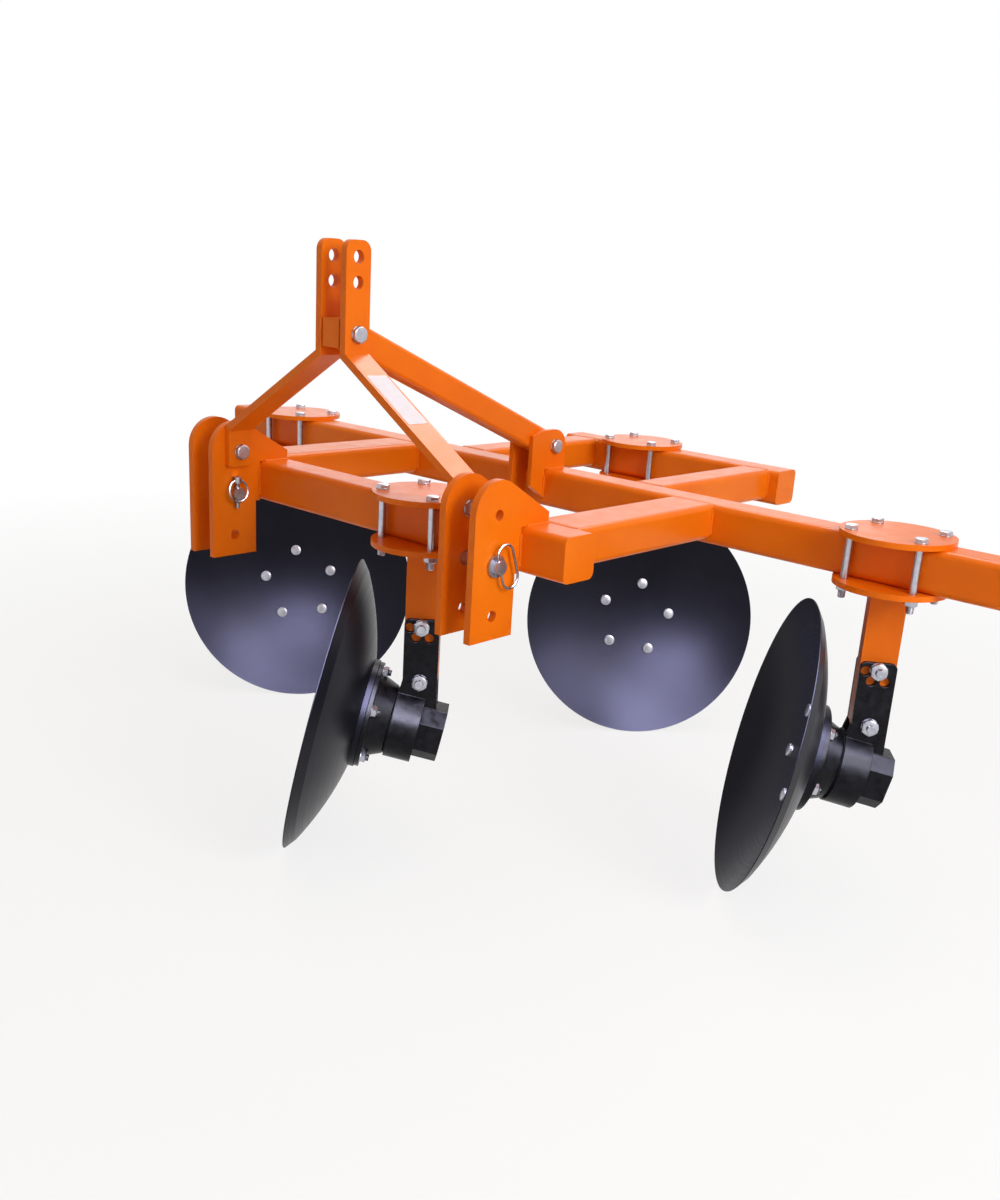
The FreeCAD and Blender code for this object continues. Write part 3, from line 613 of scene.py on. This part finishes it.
def shank_welds(bm, name):
    """Round the top of the shank, under the lower clamp plate."""
    axis, side = hub_of(name)[1], hub_of(name)[3]
    low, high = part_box("shank_" + name)
    middle = Vector(((low.x + high.x) / 2, (low.y + high.y) / 2, high.z - CLAMP_T))
    u = Vector((axis.x, axis.y, 0)).normalized() * (SHANK_U / 2)
    w = side * (SHANK_W / 2)
    loop = [middle + u + w, middle - u + w, middle - u - w, middle + u - w, middle + u + w]
    bead(bm, loop, SHANK_BEAD_R)


def welds():
    """All the beads of the frame as one piece, under the same powder coat."""
    bm = bmesh.new()
    hitch_welds(bm)
    rail_welds(bm)
    lug_welds(bm)
    for name in UNITS:
        shank_welds(bm, name)
    return finish_piece(bm, "weld_beads", "frame", POWDER_COAT, 60)


def blank_decal():
    """Blank film with rounded corners on the outer face of the left mast leg."""
    low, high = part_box("mast_bar_left")
    slope = Vector((high.x - MAST_BAR_T - MAST_GAP, 0, -MAST_LEG_DROP)).normalized()
    out = Vector((-slope.z, 0, slope.x))
    start = Vector((MAST_GAP, 0, high.z - MAST_BEND)) + out * (MAST_BAR_T + DECAL_T + 0.05 * MM)
    middle_y = (low.y + high.y) / 2
    half = DECAL_W / 2 - DECAL_CORNER
    near, far = DECAL_FROM + DECAL_CORNER, DECAL_TO - DECAL_CORNER
    bm = bmesh.new()
    outline = []
    for down, across, first in ((far, half, 0), (near, half, 90), (near, -half, 180),
                                (far, -half, 270)):
        for step in range(5):
            turn = math.radians(first + step * 22.5)
            along = down + DECAL_CORNER * math.cos(turn)
            sideways = across + DECAL_CORNER * math.sin(turn)
            outline.append(start + slope * along + Y * (middle_y + sideways))
    top_face = bm.faces.new([bm.verts.new(p) for p in outline])
    extruded = bmesh.ops.extrude_face_region(bm, geom=[top_face])
    moved = [g for g in extruded["geom"] if isinstance(g, bmesh.types.BMVert)]
    bmesh.ops.translate(bm, verts=moved, vec=out * -DECAL_T)
    return finish_piece(bm, "blank_decal", "frame", VINYL)


# ---------------------------------------------------------------- stage

FLOOR_SIZE = 40               # metres
FLOOR_GLOW = 0.80             # share of the floor near the object that stays white in shadow
GLOW_FROM, GLOW_TO = 1.4, 4.0   # metres from the middle, over which the floor turns all white
SKY_LIGHT = 0.37              # strength of the surroundings as a lamp
SOFTBOX_TINT = "#DADAF8"      # cool, for the sheen of the black enamel
CAMERA_PLACE = (1.92734, -2.17579, 1.27709)
CAMERA_TURN = (39.99, -17.96, 3.99)   # degrees to the driver's right, upwards, and of roll


def floor():
    """Pale floor that keeps the object's shadow and runs out into the white backdrop."""
    bm = bmesh.new()
    bmesh.ops.create_grid(bm, x_segments=1, y_segments=1, size=FLOOR_SIZE)
    data = bpy.data.meshes.new("floor")
    bm.to_mesh(data)
    bm.free()
    material, tree = bare_material("pale_floor")
    matt = add(tree, "ShaderNodeBsdfDiffuse", {"Color": (0.85, 0.85, 0.85, 1)})
    white = add(tree, "ShaderNodeEmission", {"Color": (1, 1, 1, 1), "Strength": 1.0})
    where = add(tree, "ShaderNodeTexCoord").outputs["Object"]
    reach = add(tree, "ShaderNodeVectorMath", {0: where}, operation="LENGTH").outputs["Value"]
    glow = add(tree, "ShaderNodeMapRange", {"Value": reach, "From Min": GLOW_FROM,
                                            "From Max": GLOW_TO, "To Min": FLOOR_GLOW,
                                            "To Max": 1.0})
    share = add(tree, "ShaderNodeMath", {0: seen_directly(tree), 1: glow.outputs["Result"]},
                operation="MULTIPLY")
    mixed = add(tree, "ShaderNodeMixShader", {0: share.outputs["Value"], 1: matt.outputs["BSDF"],
                                              2: white.outputs["Emission"]})
    add(tree, "ShaderNodeOutputMaterial", {"Surface": mixed.outputs["Shader"]})
    data.materials.append(material)
    piece = bpy.data.objects.new("floor", data)
    bpy.context.scene.collection.objects.link(piece)


def seen_directly(tree):
    """1 where a surface is seen, directly, mirrored or through glass, and 0 where it only lights
    others."""
    path = add(tree, "ShaderNodeLightPath")
    seen = add(tree, "ShaderNodeMath", {0: path.outputs["Is Camera Ray"],
                                        1: path.outputs["Is Glossy Ray"]}, operation="MAXIMUM")
    seen = add(tree, "ShaderNodeMath", {0: seen.outputs["Value"],
                                        1: path.outputs["Is Transmission Ray"]},
               operation="MAXIMUM")
    return seen.outputs["Value"]


def backdrop():
    """World: white where it is seen or mirrored, softer and a little warm where it lights."""
    world = bpy.data.worlds.new("studio")
    world.use_nodes = True
    tree = world.node_tree
    tree.nodes.clear()
    lighting = add(tree, "ShaderNodeBackground", {"Color": linear("#FFEFE2"),
                                                  "Strength": SKY_LIGHT})
    white = add(tree, "ShaderNodeBackground", {"Color": (1, 1, 1, 1), "Strength": 1.0})
    sky = add(tree, "ShaderNodeMixShader", {0: seen_directly(tree),
                                            1: lighting.outputs["Background"],
                                            2: white.outputs["Background"]})
    add(tree, "ShaderNodeOutputWorld", {"Surface": sky.outputs["Shader"]})
    bpy.context.scene.world = world


def black_pieces():
    """Discs, hubs and carriers, with the seals, linch pins and decal: all but powder coat and
    zinc. Flags keep the brightest softboxes off the frame's flat tops and the bolt heads, which
    would burn out."""
    chosen = bpy.data.collections.new("black_pieces")
    for piece in bpy.context.scene.objects:
        if piece.type == "MESH" and not {POWDER_COAT, ZINC} & set(piece.data.materials):
            chosen.objects.link(piece)
    return chosen


def lamp(name, place, target, size, power, tint="#FFFFFF", mirrored_only=False, lit=None):
    """Area lamp of so many watts, width by height in metres. It may show only in reflections, and
    light only the pieces of one collection."""
    data = bpy.data.lights.new(name, "AREA")
    data.shape = "RECTANGLE"
    data.size, data.size_y = size
    data.energy = power
    data.color = linear(tint)[:3]
    piece = bpy.data.objects.new(name, data)
    piece.location = place
    piece.rotation_mode = "QUATERNION"
    piece.rotation_quaternion = (Vector(target) - Vector(place)).to_track_quat("-Z", "Y")
    piece.visible_diffuse = not mirrored_only
    piece.visible_camera = False
    if lit:
        piece.light_linking.receiver_collection = lit
    bpy.context.scene.collection.objects.link(piece)


def camera():
    """Stands ahead of the machine on the driver's left, as high as the top of the mast."""
    data = bpy.data.cameras.new("camera")
    data.lens = 35.57
    data.sensor_width = 36
    data.shift_x = -0.0254
    data.shift_y = 0.0424
    piece = bpy.data.objects.new("camera", data)
    bpy.context.scene.collection.objects.link(piece)
    yaw, pitch, roll = (math.radians(a) for a in CAMERA_TURN)
    look = Vector((-math.sin(yaw) * math.cos(pitch), math.cos(yaw) * math.cos(pitch),
                   math.sin(pitch)))
    level = look.cross(Z).normalized()
    above = level.cross(look)
    right = level * math.cos(roll) + above * math.sin(roll)
    up = above * math.cos(roll) - level * math.sin(roll)
    turn = Matrix((right, up, -look)).transposed()
    piece.matrix_world = Matrix.Translation(CAMERA_PLACE) @ turn.to_4x4()
    bpy.context.scene.camera = piece


dress_cad()
for unit in UNITS:
    disc_bolts(unit)
    unit_fasteners(unit)
    grease_nipple(unit)
    lip_seal(unit)
mast_fasteners()
welds()
blank_decal()

floor()
backdrop()
dark = black_pieces()
lamp("key", (4.2, -0.8, 2.6), (0, 0, 0.6), (1.8, 1.8), 108)
lamp("top", (0.3, 0.2, 4.0), (0, 0, 0.5), (3.5, 3.5), 46)
lamp("overhead_softbox", (1.0, -0.7, 2.7), (0.1, -0.1, 0.3), (2.8, 2.4), 1150, SOFTBOX_TINT,
     mirrored_only=True, lit=dark)
lamp("front_softbox", (3.15, -3.0, 2.95), (0, 0, 0.3), (3.0, 1.9), 1080, SOFTBOX_TINT,
     mirrored_only=True, lit=dark)
lamp("side_softbox", (2.8, 1.1, 1.9), (0, 0.3, 0.2), (1.8, 1.8), 190, SOFTBOX_TINT,
     mirrored_only=True, lit=dark)
lamp("rear_softbox", (-0.7, 2.3, 3.9), (0, 0, 0.8), (2.4, 1.4), 105, mirrored_only=True)
lamp("low_softbox", (-2.6, 3.4, 1.9), (0, 0, 0.8), (4.0, 1.4), 16, mirrored_only=True)
camera()
bpy.context.scene.view_settings.view_transform = "Standard"
